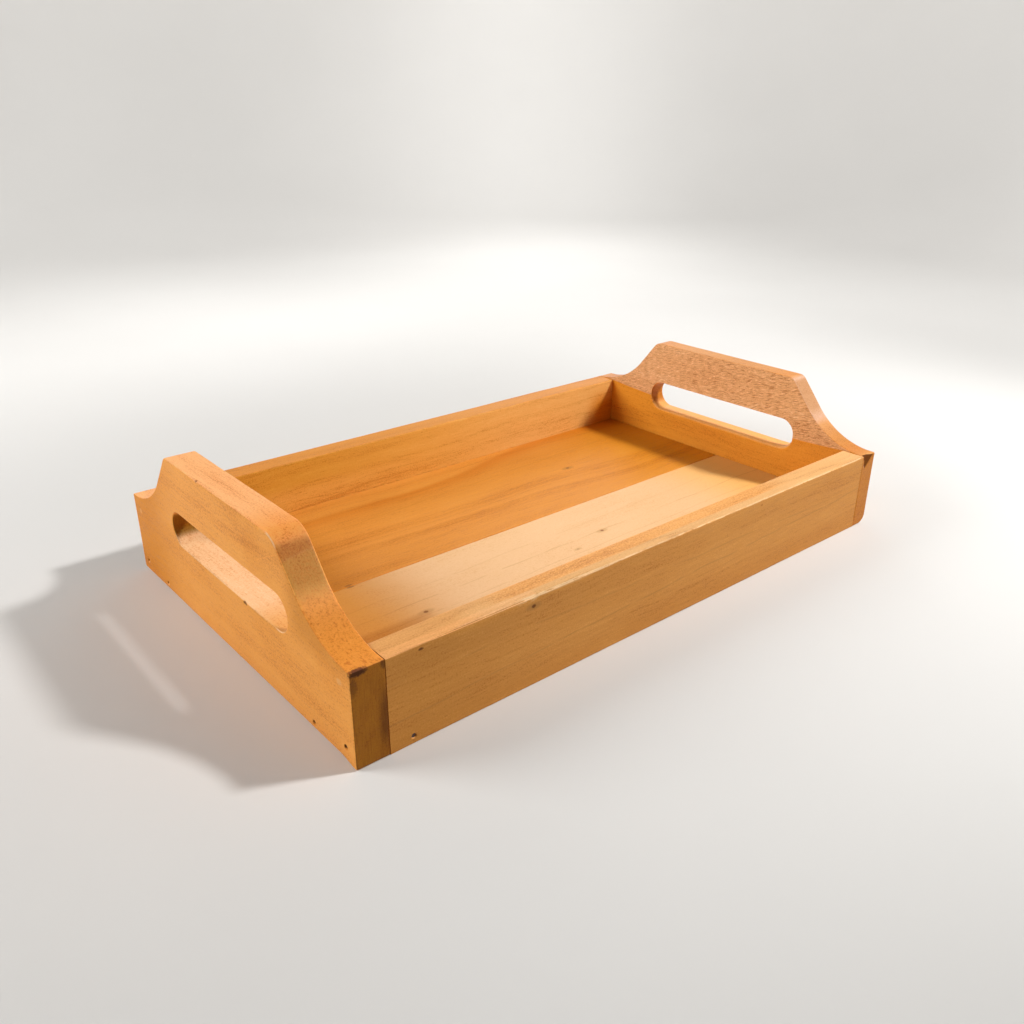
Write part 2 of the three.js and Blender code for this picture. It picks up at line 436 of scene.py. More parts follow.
def bore_pit(slab, axis, face, centre, inward, depth=PIT_DEPTH):
    """The hole above a brad's head, pressed into a face at a centre in the other two axes."""
    others = [k for k in (X, Y, Z) if k != axis]
    away = np.linalg.norm(slab.points[:, others] - np.array(centre), axis=1)
    on_face = np.abs(slab.points[:, axis] - face) < 0.3 * MM
    profile = 1 - smooth_step(PIT_RADIUS * 0.8, PIT_RADIUS * 1.25, away)
    slab.points[:, axis] += np.where(on_face, profile * depth * inward, 0)


def round_over(slab, axes, corner, signs, radius):
    """Turns the square of a long corner into a quarter round, radius being a number or one a point."""
    a, b = axes
    inner_a, inner_b = corner[0] - signs[0] * radius, corner[1] - signs[1] * radius
    u = (slab.points[:, a] - inner_a) * signs[0] / radius
    v = (slab.points[:, b] - inner_b) * signs[1] / radius
    chosen = (u > 0) & (v > 0) & (u < 1.05) & (v < 1.05)
    length = np.maximum(np.hypot(u, v), 1e-9)
    shrink = np.where(chosen, np.maximum(np.abs(u), np.abs(v)) / length, 1)
    slab.points[:, a] = np.where(chosen, inner_a + signs[0] * radius * u * shrink, slab.points[:, a])
    slab.points[:, b] = np.where(chosen, inner_b + signs[1] * radius * v * shrink, slab.points[:, b])


def chip_edge(slab, start, end, depth, reach, seed):
    """Small flakes out of the edge that runs from start to end, pressed towards the wood at depth."""
    start, end = np.array(start), np.array(end)
    run = end - start
    along = np.clip(((slab.points - start) @ run) / (run @ run), 0, 1)
    away = np.linalg.norm(slab.points - (start + along[:, None] * run), axis=1)
    bite = np.clip(ripple(slab.points, 260, seed) + 0.35 * ripple(slab.points, 900, seed + 3) - 0.12, 0, 1)
    ends = smooth_step(0, 0.06, along) * smooth_step(0, 0.06, 1 - along)
    weight = (1 - smooth_step(0.3 * reach, reach, away)) * bite * ends
    slab.points += weight[:, None] * np.array(depth)
    slab.edge = np.maximum(slab.edge, np.clip(weight * 2.5, 0, 1))


def settle(slab, amount, seed):
    """A board is never quite flat: long shallow waves move both of its faces together."""
    for axis in (X, Y, Z):
        slab.points[:, axis] += amount * ripple(slab.points, 14, seed + axis)


# ---------------------------------------------------------------- the six boards

EASE = 0.7 * MM
TIGHT = 0.18 * MM
TIP_EASE = 0.38 * MM
SHARP = 0.25 * MM
CORNER_BRAD_Y = 117.1 * MM
END_BRAD_Y = 88 * MM
END_BRAD_Z = 5.3 * MM
RAIL_BRAD_X = 175 * MM
RAIL_BRAD_Z = 4.2 * MM
END_PITS = [(side * CORNER_BRAD_Y, CORNER_BRAD_Z[0]) for side in (-1, 1)]
END_PITS += [(side * END_BRAD_Y, END_BRAD_Z) for side in (-1, 1)]
END_FILLED = [(side * CORNER_BRAD_Y, CORNER_BRAD_Z[1]) for side in (-1, 1)]
RAIL_PITS = [(side * RAIL_BRAD_X, RAIL_BRAD_Z) for side in (-1, 1)]


END_PIT_ZONE = (near(END_PITS + END_FILLED, 2.2 * MM), 0.32 * MM)
RAIL_PIT_ZONE = (near(RAIL_PITS, 2.2 * MM), 0.32 * MM)
SETTLING = 0.12 * MM
FLOOR_SETTLING = 0.14 * MM


def above_rails(y, z):
    return z > RAIL_TOP


def beside_rail(y, z):
    """Where an end board's edge meets a rail: its two upright ends below the cove."""
    return (np.abs(y) > LEFT_HIGH.y - 0.5 * MM) & (z < RAIL_TOP - 0.5 * MM)


def at_tip(y, z):
    """The thin ends of the coves, which stay crisp."""
    return (np.abs(y) > LEFT_HIGH.y - 5 * MM) & (z > RAIL_TOP - 3 * MM)


def pit_the_end_board(slab, face, inward):
    for centre in END_PITS:
        bore_pit(slab, X, face, centre, inward)
    for centre in END_FILLED:
        bore_pit(slab, X, face, centre, inward, FILLED_DEPTH)


def make_end_board(side, low, high, feet, steps, shaped_eases, slot_eases, spacing, zones):
    """feet are the radii of the two lower corners; steps are the spacing of the points along the outline
    and along the slot; shaped_eases are the edge radii of the shaped top, and slot_eases those of the
    slot, at the low and at the high face."""
    outline = end_board_outline(low, high, CORNER_RADII[side], feet, steps[0])
    slot = grip_outline(GRIPS[side], steps[1])
    eases = []
    for face, ease in zip(("outer", "inner") if side == "left" else ("inner", "outer"), shaped_eases):
        joint = ((beside_rail, TIGHT),) if face == "inner" else ()
        eases.append(ease_along(outline, EASE, *joint, (above_rails, ease), (at_tip, TIP_EASE)))
    slot_eases = [ease_along(slot, *ease) for ease in slot_eases]
    return Slab(
        side + "_end_board_wood", (Y, Z, X), low.x, high.x, (outline, slot), (eases, slot_eases),
        spacing, zones,
    )


def make_left_board():
    slab = make_end_board(
        "left", LEFT_LOW, LEFT_HIGH,
        feet=(1.2 * MM, 1.2 * MM),
        steps=(1.5 * MM, 1.5 * MM),
        shaped_eases=(0.8 * MM, 0.9 * MM),
        slot_eases=((0.8 * MM,), (1.0 * MM,)),
        spacing=(2.2 * MM, 2.8 * MM, 1.2 * MM),
        zones={"low": (END_PIT_ZONE,)},
    )
    pit_the_end_board(slab, LEFT_LOW.x, 1)
    near_end = smooth_step(0, 14 * MM, slab.points[:, Y] - LEFT_LOW.y)
    round_over(slab, (X, Z), (LEFT_LOW.x, 0), (-1, -1), (1.2 + 2.3 * near_end) * MM)
    settle(slab, SETTLING, 3)
    # a chipped stretch and a nick on the outer top edge, and a bruise under the slot
    chip_edge(
        slab, start=(LEFT_LOW.x, -0.048, LEFT_HIGH.z), end=(LEFT_LOW.x, -0.068, 0.0905),
        depth=(0.9 * MM, 0.1 * MM, -0.8 * MM), reach=2.2 * MM, seed=11,
    )
    slab.push(
        (LEFT_LOW.x, 0.0195, LEFT_HIGH.z),
        reach=(1.6 * MM, 2.2 * MM, 1.6 * MM), shift=(0.8 * MM, 0, -0.7 * MM),
    )
    slab.push(
        (LEFT_LOW.x, -0.0244, 0.0415),
        reach=(1.5 * MM, 2.4 * MM, 1.6 * MM), shift=(0.5 * MM, 0, -0.4 * MM),
    )
    # a few flakes out of the front cove's outer edge
    chip_edge(
        slab, start=(LEFT_LOW.x, -0.098, 0.0590), end=(LEFT_LOW.x, -0.122, 0.0517),
        depth=(0.5 * MM, 0, -0.3 * MM), reach=1.6 * MM, seed=12,
    )
    return slab.build()


ROUGH_EDGE_Z = 47.3 * MM
ROUGH_EDGE_RISE = 0.35
SAW_DEPTH = 0.16 * MM
PLANED_DEPTH = 0.18 * MM


def sawn_above(y):
    """The line on the right board's inner face below which it is planed smooth."""
    return ROUGH_EDGE_Z + ROUGH_EDGE_RISE * y * y


def saw_marks(slab, face, inward):
    """Torn fibres across the part of the inner face that was left as the saw cut it."""
    y, z = slab.points[:, Y], slab.points[:, Z]
    on_face = np.abs(slab.points[:, X] - face) < 0.02 * MM
    torn = np.column_stack([y * 0.24 + 0.05 * z, z * 1.1])
    rough = smooth_step(-0.5 * MM, 0.7 * MM, z - sawn_above(y))
    cut = np.clip(0.5 + 0.8 * ripple(torn, 800, 21), 0, 1)
    depth = SAW_DEPTH * cut * rough + PLANED_DEPTH * (1 - rough)
    slab.points[:, X] += np.where(on_face, depth * inward, 0)


def make_right_board():
    under_slot = lambda y, z: z < GRIPS["right"]["z"] - 3 * MM
    sawn = lambda points: points[:, 1] > sawn_above(points[:, 0]) - 1.5 * MM
    slab = make_end_board(
        "right", RIGHT_LOW, RIGHT_HIGH,
        feet=(1.0 * MM, 1.2 * MM),
        steps=(1.2 * MM, 1.3 * MM),
        shaped_eases=(0.6 * MM, 1.1 * MM),
        slot_eases=((0.8 * MM, (under_slot, 2.6 * MM)), (1.2 * MM,)),
        spacing=(2.8 * MM, 2.4 * MM, 1.0 * MM),
        zones={"low": ((sawn, 0.75 * MM),), "high": (END_PIT_ZONE,)},
    )
    saw_marks(slab, RIGHT_LOW.x, 1)
    pit_the_end_board(slab, RIGHT_HIGH.x, -1)
    from_front = slab.points[:, Y] - RIGHT_LOW.y
    foot = (2.0 + 4.2 * (1 - smooth_step(20 * MM, 90 * MM, from_front))) * MM
    round_over(slab, (X, Z), (RIGHT_HIGH.x, 0), (1, -1), foot)
    scoop_the_end(slab)
    settle(slab, SETTLING, 5)
    return slab.build()


# the splinter's three corners, and its two long sides with the distance over which each deepens
SCOOP_CORNERS = ((193.0 * MM, 52.4 * MM), (205.4 * MM, 52.4 * MM), (195.0 * MM, 41.8 * MM))
SCOOP_SIDES = (
    (SCOOP_CORNERS[1], SCOOP_CORNERS[2], 4.0 * MM),
    (SCOOP_CORNERS[2], SCOOP_CORNERS[0], 0.6 * MM),
)
SCOOP_DEPTH = 2.6 * MM


def scoop_the_end(slab):
    """A splinter has come out of the right board's front end, from the top down along the joint."""
    x, z = slab.points[:, X], slab.points[:, Z]
    depth = np.full(len(x), 1.0)
    for (x0, z0), (x1, z1), rise in SCOOP_SIDES:
        length = math.hypot(x1 - x0, z1 - z0)
        inward = ((x - x0) * (z0 - z1) + (z - z0) * (x1 - x0)) / length * -1
        depth *= smooth_step(-0.2 * MM, rise, inward)
    at_end = 1 - smooth_step(0, 5 * MM, slab.points[:, Y] - RIGHT_LOW.y)
    depth *= 0.9 + 0.3 * ripple(slab.points, 300, 8)
    slab.points[:, Y] += SCOOP_DEPTH * depth * at_end


def make_rail(name, low, high, zones, eases):
    """A rail is tight at its ends, where it meets the end boards, and eased along its length. Each pair
    of eases is the edge radius of one face in general and along its top."""
    outline = box_outline((low.x, low.z), (high.x, high.z), SHARP, 1.3 * MM)
    middle, half = (low.x - high.x) / 2, (high.x - low.x) / 2
    at_end = lambda x, z: np.abs(x - (high.x + middle)) > half - 0.6 * MM
    at_top = lambda x, z: z > high.z - 0.5 * MM
    radii = [ease_along(outline, edge, (at_top, top_edge), (at_end, TIGHT)) for edge, top_edge in eases]
    return Slab(name, (X, Z, Y), low.y, high.y, (outline,), (radii,), (2.4 * MM, 2.4 * MM, 0.9 * MM), zones)


WORN_EDGE = (-168 * MM, -56 * MM)


def make_front_rail():
    slab = make_rail(
        "front_rail_wood", FRONT_LOW, FRONT_HIGH,
        zones={"low": (RAIL_PIT_ZONE,)},
        eases=((EASE, 0.7 * MM), (0.5 * MM, 0.6 * MM)),
    )
    left_pit, right_pit = RAIL_PITS
    bore_pit(slab, Y, FRONT_LOW.y, left_pit, 1)
    bore_pit(slab, Y, FRONT_LOW.y, right_pit, 1, FILLED_DEPTH)
    # hands have worn the outer top edge down along its left half, most of all up to the step in it
    x = slab.points[:, X]
    start, end = WORN_EDGE
    before = smooth_step(start, start + 30 * MM, x) * (1 - smooth_step(-102 * MM, -97 * MM, x))
    after = smooth_step(-100 * MM, -96 * MM, x) * (1 - smooth_step(end - 20 * MM, end + 30 * MM, x))
    worn = (0.6 + 2.6 * before + 1.2 * after) * MM
    round_over(slab, (Y, Z), (FRONT_LOW.y, RAIL_TOP), (-1, 1), worn)
    # the inner part of the top is still as the saw left it
    x, y, z = slab.points.T
    rough = smooth_step(-140 * MM, -110 * MM, x) * (1 - smooth_step(85 * MM, 125 * MM, x))
    rough *= smooth_step(-120 * MM, -118.5 * MM, y)
    torn = np.column_stack([x * 0.3, y * 1.1])
    marks = 0.5 + 0.8 * ripple(torn, 900, 31)
    on_top = z > RAIL_TOP - 0.05 * MM
    slab.points[:, Z] -= np.where(on_top, SAW_DEPTH * np.clip(marks, 0, 1) * rough, 0)
    settle(slab, SETTLING, 7)
    chip_edge(
        slab, start=(-0.112, FRONT_LOW.y, RAIL_TOP), end=(0.190, FRONT_LOW.y, RAIL_TOP),
        depth=(0, 0.22 * MM, -0.20 * MM), reach=1.1 * MM, seed=13,
    )
    # a nick and a sunken knot in the front face
    slab.push(
        (-0.1692, FRONT_LOW.y, 0.0490), reach=(1.7 * MM, 1.4 * MM, 1.1 * MM), shift=(0, 0.9 * MM, 0)
    )
    slab.push(
        (-0.1022, FRONT_LOW.y, 0.0461), reach=(1.5 * MM, 1.4 * MM, 1.3 * MM), shift=(0, 0.35 * MM, 0)
    )
    return slab.build()


def make_back_rail():
    slab = make_rail(
        "back_rail_wood", BACK_LOW, BACK_HIGH,
        zones={"high": (RAIL_PIT_ZONE,)},
        eases=((0.5 * MM, 0.7 * MM), (EASE, 0.9 * MM)),
    )
    for centre in RAIL_PITS:
        bore_pit(slab, Y, BACK_HIGH.y, centre, -1)
    settle(slab, SETTLING, 9)
    chip_edge(
        slab, start=(-0.150, BACK_LOW.y, RAIL_TOP), end=(0.150, BACK_LOW.y, RAIL_TOP),
        depth=(0, 0.3 * MM, -0.3 * MM), reach=1.2 * MM, seed=14,
    )
    return slab.build()


def make_floor_board(name, low, high, seed):
    outline = box_outline((low.x, low.y), (high.x, high.y), SHARP, 2.4 * MM)
    ease = ease_along(outline, 0.35 * MM)
    slab = Slab(
        name, (X, Y, Z), low.z, high.z, (outline,), ((ease_along(outline, EASE), ease),),
        (3.5 * MM, 2.6 * MM, 2.4 * MM), {},
    )
    settle(slab, FLOOR_SETTLING, seed)
    return slab.build()


def make_pale_board():
    return make_floor_board("bottom_board_front_wood", PALE_LOW, PALE_HIGH, 11)


def make_warm_board():
    return make_floor_board("bottom_board_rear_wood", WARM_LOW, WARM_HIGH, 13)


# ---------------------------------------------------------------- materials

class Graph:
    """A small writer of shader nodes."""

    def __init__(self, name):
        self.material = bpy.data.materials.new(name)
        self.material.use_nodes = True
        self.tree = self.material.node_tree
        self.tree.nodes.clear()

    def add(self, kind, inputs, output=0, **settings):
        node = self.tree.nodes.new("ShaderNode" + kind)
        for key, value in settings.items():
            setattr(node, key, value)
        for key, value in inputs.items():
            self.plug(value, node.inputs[key])
        return node.outputs[output] if node.outputs else node

    def plug(self, value, socket):
        if isinstance(value, bpy.types.NodeSocket):
            self.tree.links.new(value, socket)
        elif isinstance(value, tuple) and len(value) == 3 and socket.type == "RGBA":
            socket.default_value = (*value, 1)
        else:
            socket.default_value = value

    def math(self, operation, *values):
        return self.add("Math", dict(enumerate(values)), operation=operation)

    def total(self, *values):
        result = values[0]
        for value in values[1:]:
            result = self.math("ADD", result, value)
        return result

    def times(self, *values):
        result = values[0]
        for value in values[1:]:
            result = self.math("MULTIPLY", result, value)
        return result

    def vector(self, operation, *values, output=0):
        return self.add("VectorMath", dict(enumerate(values)), output, operation=operation)

    def fade(self, value, low, high):
        """0 at low, 1 at high, smooth between; low may be the greater one."""
        inputs = {"Value": value, "From Min": low, "From Max": high}
        return self.add("MapRange", inputs, interpolation_type="SMOOTHSTEP")

    def between(self, value, low, high, soft):
        rising = self.fade(value, low - soft, low + soft)
        return self.times(rising, self.fade(value, high + soft, high - soft))

    def blend(self, amount, first, second, how="MIX"):
        inputs = {0: amount, 6: first, 7: second}
        return self.add("Mix", inputs, 2, data_type="RGBA", blend_type=how, clamp_result=True)

    def noise(self, vector, stretch=(1, 1, 1), detail=2.0, roughness=0.5, seed=0.0, output=0):
        scaled = self.vector("MULTIPLY_ADD", vector, stretch, (seed * 17.3, seed * 9.1, seed * 5.3))
        inputs = {"Vector": scaled, "Scale": 1.0, "Detail": detail, "Roughness": roughness}
        return self.add("TexNoise", inputs, output)

    def contrast(self, value, gain):
        """Noise, which stays near a half, spread out around zero."""
        return self.times(self.math("SUBTRACT", value, 0.5), gain)

    def only_x(self, value):
        return self.add("CombineXYZ", {0: value})

    def in_millimetres(self, texture):
        place = self.vector("SCALE", texture.outputs["Object"])
        place.node.inputs["Scale"].default_value = 1 / MM
        return place

    def bumped(self, strength, depth, height):
        return self.add("Bump", {"Strength": strength, "Distance": depth * MM, "Height": height})

    def shade(self, inputs):
        """Closes the graph with its shader."""
        self.add("OutputMaterial", {"Surface": self.add("BsdfPrincipled", inputs)})
        return self.material

    def parts(self, vector):
        node = self.tree.nodes.new("ShaderNodeSeparateXYZ")
        self.plug(vector, node.inputs[0])
        return node.outputs[0], node.outputs[1], node.outputs[2]


class Wood(Graph):
    """Oiled hardwood: growth rings around a pith, fibres, pores and stains.

    Positions inside a material are in millimetres, in the tray's own frame."""

    # each pattern's stretch along and across the grain, its detail and its roughness
    PATTERNS = {
        "wander": ((0.007, 0.016, 0.016), 2, 0.5),
        "uneven": ((0.09, 1, 1), 2, 0.6),
        "years": ((0.16, 1, 1), 1, 0.5),
        "fibre": ((0.045, 0.75, 0.75), 4, 0.62),
        "fine": ((0.16, 2.6, 2.6), 3, 0.6),
        "grit": ((1.1, 1.1, 1.1), 2, 0.6),
        "pores": ((0.30, 3.6, 3.6), 1, 0.5),
        "mottle": ((0.012, 0.034, 0.034), 2, 0.55),
    }
    GRAIN_WANDER = (0, 16, 16)
    PITH_DRIFT = 0.035
    PORE_TONE = -0.22
    SPECULAR_LEVEL = 0.14

    def __init__(self, name, along, seed, tones, pith, ring_gap, weights, halo):
        """along is the grain's axis; tones are dark, middle and light; pith is where the growth rings
        are centred across the grain, in the other two axes; weights say how much each pattern shows;
        halo is the colour around a knot."""
        super().__init__(name)
        self.seed = seed
        self.halo = halo
        texture = self.tree.nodes.new("ShaderNodeTexCoord")
        self.place = self.in_millimetres(texture)
        self.normal = self.parts(texture.outputs["Normal"])
        self.at = self.x, self.y, self.z = self.parts(self.place)
        a, b, c = (self.at[(along + k) % 3] for k in range(3))
        grained = self.add("CombineXYZ", {0: a, 1: b, 2: c})
        wander = self.vector("SUBTRACT", self.pattern("wander", grained, "Color"), (0.5, 0.5, 0.5))
        grain = self.vector("MULTIPLY_ADD", wander, self.GRAIN_WANDER, grained)
        _, across, up = self.parts(grain)
        # growth rings, whose pith drifts sideways along the board
        off_b = self.total(across, -pith[0], self.times(a, self.PITH_DRIFT))
        off_c = self.total(up, -pith[1])
        radius = self.math("SQRT", self.total(self.times(off_b, off_b), self.times(off_c, off_c)))
        uneven = self.pattern("uneven", self.only_x(radius))
        radius = self.total(radius, self.contrast(uneven, 2.2 * ring_gap))
        ring = self.math("FRACT", self.math("DIVIDE", radius, ring_gap))
        latewood = self.times(self.fade(ring, 0.45, 0.93), self.fade(ring, 1, 0.95))
        years = self.pattern("years", self.only_x(radius))
        # fibres, fine streaks and pores, all drawn out along the grain
        self.fibre = self.pattern("fibre", grain)
        self.fine = self.pattern("fine", grain)
        pores = self.fade(self.pattern("pores", grain), 0.36, 0.27)
        fibre, fine, years_weight, ring_weight, mottle_weight = weights
        tone = self.total(
            0.5,
            self.contrast(self.fibre, fibre),
            self.contrast(self.fine, fine),
            self.contrast(years, years_weight),
            self.contrast(self.pattern("mottle", grained), mottle_weight),
            self.contrast(self.pattern("grit", self.place), 2 * fine),
            self.times(latewood, -ring_weight),
            self.times(pores, self.PORE_TONE),
        )
        dark, middle, light = tones
        lower = self.blend(self.fade(tone, 0.05, 0.5), dark, middle)
        self.colour = self.blend(self.fade(tone, 0.5, 0.95), lower, light)
        self.end_grain = self.fade(self.math("ABSOLUTE", self.normal[along]), 0.6, 0.9)
        self.height = self.total(
            self.times(self.fibre, 0.55), self.times(self.fine, 0.45), self.times(pores, -0.7)
        )
        self.roughness = 0.52

    def pattern(self, name, vector, output=0):
        seed = self.seed + list(self.PATTERNS).index(name)
        return self.noise(vector, *self.PATTERNS[name], seed, output)

    def ramp(self, axis, low, high):
        """0 at low, 1 at high, along an axis of the tray."""
        return self.fade(self.at[axis], low, high)

    def band(self, axis, low, high, soft):
        return self.between(self.at[axis], low, high, soft)

    def facing(self, axis, low, high):
        """0 to 1 as the surface's normal, along an axis, goes from low to high."""
        return self.fade(self.normal[axis], low, high)

    def tint(self, colour, *masks, how="MULTIPLY"):
        self.colour = self.blend(self.times(*masks), self.colour, colour, how)

    def paint(self, colour, *masks):
        self.tint(colour, *masks, how="MIX")

    def spot(self, centre, reach, colour, strength=1.0, ragged=0.35):
        """A stain, knot or hole of a given reach in each axis, with a ragged edge."""
        inverse = tuple(1 / r for r in reach)
        away = self.vector("MULTIPLY", self.vector("SUBTRACT", self.place, centre), inverse)
        distance = self.vector("LENGTH", away, output=1)
        small = 2.2 / max(min(reach), 1.5)
        torn = self.noise(self.place, (small,) * 3, 3, 0.6, self.seed + centre[0])
        distance = self.total(distance, self.contrast(torn, 2 * ragged))
        self.paint(colour, self.times(self.fade(distance, 1, 0.45), strength))

    def end_marks(self, x, marks, ragged):
        """Spots on an end board's outer face, at x."""
        for (y, z), reach, colour, strength in marks:
            self.spot((x, y, z), (1.6, *reach), colour, strength, ragged)

    def knot(self, centre, size, along, colour, strength=0.9):
        """A pin knot: a dark centre, and a longer soft halo along the grain."""
        around = tuple(0.25 * v + 0.75 * w for v, w in zip(colour, self.halo))
        for spread, length, *look in (
            (2.1, 5.0, around, 0.45, 0.2),
            (1.0, 1.35, colour, strength, 0.25),
        ):
            reach = [size * spread] * 3
            reach[along] = size * length
            self.spot(centre, tuple(reach), *look)

    def streak(self, axis, run_axis, place, slope, width, waver, colour, strength, seed):
        """A thin line along the grain, which wavers slowly."""
        run = self.only_x(self.at[run_axis])
        wave = self.noise(run, (0.02, 1, 1), 2, 0.5, seed)
        middle = self.total(place, self.times(self.at[run_axis], slope), self.contrast(wave, waver))
        away = self.math("ABSOLUTE", self.math("SUBTRACT", self.at[axis], middle))
        broken = self.fade(self.noise(run, (0.05, 1, 1), 2, 0.6, seed + 4), 0.36, 0.56)
        self.paint(colour, self.fade(away, width, 0), broken, strength)

    def finish(self, bump=0.05, end_tone=(0.62, 0.5, 0.38), worn_edge_highlight=(1.16, 1.14, 1.12)):
        """Adds end grain and worn edges, whose lightening is partly a painted highlight, and closes the
        graph with its shader.
        """
        speckle = self.noise(self.place, (2.4, 2.4, 2.4), 3, 0.7, self.seed + 12)
        self.tint(end_tone, self.end_grain)
        self.tint((0.72, 0.64, 0.55), self.end_grain, self.fade(speckle, 0.5, 0.36), 0.5)
        wear = self.add("Attribute", {}, "Fac", attribute_name="wear", attribute_type="GEOMETRY")
        # worn edges lightened: partly pale worn wood, partly a painted highlight on the rounded edges
        self.tint(worn_edge_highlight, wear, self.fade(self.fibre, 0.40, 0.58), 0.75)
        rough = self.total(self.roughness, self.contrast(self.fine, 0.5), self.contrast(self.fibre, 0.35))
        return self.shade({
            "Base Color": self.colour,
            "Roughness": self.math("MINIMUM", self.math("MAXIMUM", rough, 0.25), 0.95),
            "Normal": self.bumped(0.55, bump, self.height),
            "Specular IOR Level": self.SPECULAR_LEVEL,
        })


BROWN = (0.24, 0.075, 0.014)
UMBER = (0.13, 0.038, 0.007)
RUST = (0.42, 0.12, 0.022)
FILLER = (0.84, 0.50, 0.22)
FLOOR_Z = 17.4
HOLE = (1.3, 1.6, 1.3)
# on the end boards: place in Y and Z, reach, colour and strength
BRAD_HOLES = [((side * 116.5, 8.6), (1.4, 1.4), UMBER, 0.9) for side in (-1, 1)]
BRAD_HOLES += [((side * 88, 5.3), (1.2, 1.2), UMBER, 0.9) for side in (-1, 1)]
FILLED_HOLES = [((y, 42.8), (2.8, 2), FILLER, 0.4) for y in (-115.6, 116.4)]


def left_board_wood():
    tones = ((0.6, 0.195, 0.026), (0.87, 0.366, 0.075), (0.94, 0.445, 0.11))
    wood = Wood(
        "left_board_wood", Y, 1, tones, (-235, 210), 9,
        (0.6, 0.5, 0.35, 0.08, 0.55), (0.5, 0.24, 0.07),
    )
    top = wood.facing(Z, 0.25, 0.55)
    # the flat grip is pale and bright up to a crisp line, and the slopes below it are browner, darkest low
    # down
    line = wood.total(wood.y, 70.6, wood.times(wood.total(wood.x, 206), -0.08))
    slope = wood.times(top, wood.fade(line, 0.5, -0.7))
    low = wood.ramp(Z, 72, 60)
    wood.tint((1.27, 1.25, 1.5), slope, wood.math("SUBTRACT", 1, low))
    wood.tint((0.92, 0.92, 0.9), slope, wood.ramp(Z, 80, 88), 0.4)
    wood.tint((0.96, 0.81, 0.57), slope, low)
    burnt = wood.noise(wood.place, (0.55, 0.34, 0.55), 4, 0.65, 3)
    wood.paint((0.56, 0.135, 0.016), slope, low, wood.fade(burnt, 0.54, 0.66), 0.65)
    wood.spot((-202, -124.6, 50.6), (6.2, 2.4, 2.6), (0.12, 0.03, 0.014), 0.9, 0.5)
    # the grip's side of the line is paler, and more orange towards the front
    clean = wood.times(top, wood.fade(line, -0.7, 0.5))
    wood.tint((1.22, 1.33, 2.5), clean)
    wood.tint((0.92, 0.73, 0.42), clean, wood.ramp(Y, -25, -60))
    in_slot = wood.times(wood.ramp(Z, 64, 62), wood.fade(wood.math("ABSOLUTE", wood.y), 76, 73))
    wood.tint((0.84, 1.09, 1.44), wood.facing(Z, 0.1, 0.5), in_slot)
    # the outer face is duller beside the front slope and towards the top, and painted darker and browner
    # behind as painted shade
    face = wood.facing(X, -0.6, -0.9)
    shade = wood.noise(wood.place, (0.02, 0.022, 0.03), 3, 0.5, 6)
    beside = wood.times(wood.ramp(Y, -66, -84), wood.ramp(Z, 40, 56))
    wood.tint((0.74, 0.68, 0.46), face, beside, 0.7)
    wood.tint((0.88, 0.85, 0.76), face, wood.ramp(Z, 66, 84), wood.fade(shade, 0.4, 0.6), 0.4)
    wood.tint((0.93, 0.84, 0.66), face, wood.fade(shade, 0.5, 0.66), 0.4)
    # painted shade: the back part of the outer face darkened and browned
    wood.tint((0.79, 0.68, 0.31), face, wood.ramp(Y, 40, 110))
    # painted shade: the outer face darkened and browned near the floor
    wood.tint((0.95, 0.88, 0.76), face, wood.ramp(Z, 14, 2), 0.45)
    # a faint pale arc where a cutter has grazed the face
    arc_y = wood.total(wood.y, 66)
    arc_z = wood.total(wood.z, -73.6, wood.times(wood.math("SUBTRACT", wood.y, -44), 0.505))
    on_arc = wood.times(wood.fade(wood.math("ABSOLUTE", arc_z), 0.7, 0), wood.between(arc_y, 0, 22, 3))
    wood.tint((1.18, 1.22, 1.3), face, on_arc, 0.45)
    # marks: holes over the brads, a spot under the slot, filler, and the nick at the top
    wood.end_marks(-206, BRAD_HOLES, 0.2)
    wood.end_marks(-206, (
        ((-24.4, 41.3), (2.6, 1.3), UMBER, 0.85),
        ((19.5, 93.4), (1.8, 1.1), BROWN, 0.8),
        *FILLED_HOLES,
    ), 0.4)
    arris = wood.times(wood.facing(Z, 0.15, 0.4), wood.facing(X, -0.2, -0.45))
    wood.paint((0.94, 0.62, 0.34), arris, wood.band(Y, -66, -58, 1.5), 0.7)
    # the front end: upright fibres, darker along the joint, and at its two top corners
    at_end = wood.facing(Y, -0.6, -0.85)
    upright = wood.noise(wood.place, (1.5, 1, 0.1), 3, 0.6, 8)
    wood.tint((0.74, 0.68, 0.58), at_end, wood.fade(upright, 0.55, 0.38), 0.5)
    joint = wood.total(wood.x, 189, wood.contrast(shade, 6))
    stain = wood.times(at_end, wood.fade(joint, -5.5, 0), wood.band(Z, 8, 36, 9))
    wood.tint((0.44, 0.36, 0.28), stain, 0.9)
    wood.spot((-188.6, -125, 49.8), (2.6, 1, 3.4), UMBER, 0.6, 0.5)
    wood.spot((-204.5, -125, 44), (2.6, 1, 6), BROWN, 0.5, 0.5)
    return wood.finish(0.05, (0.39, 0.33, 0.08))


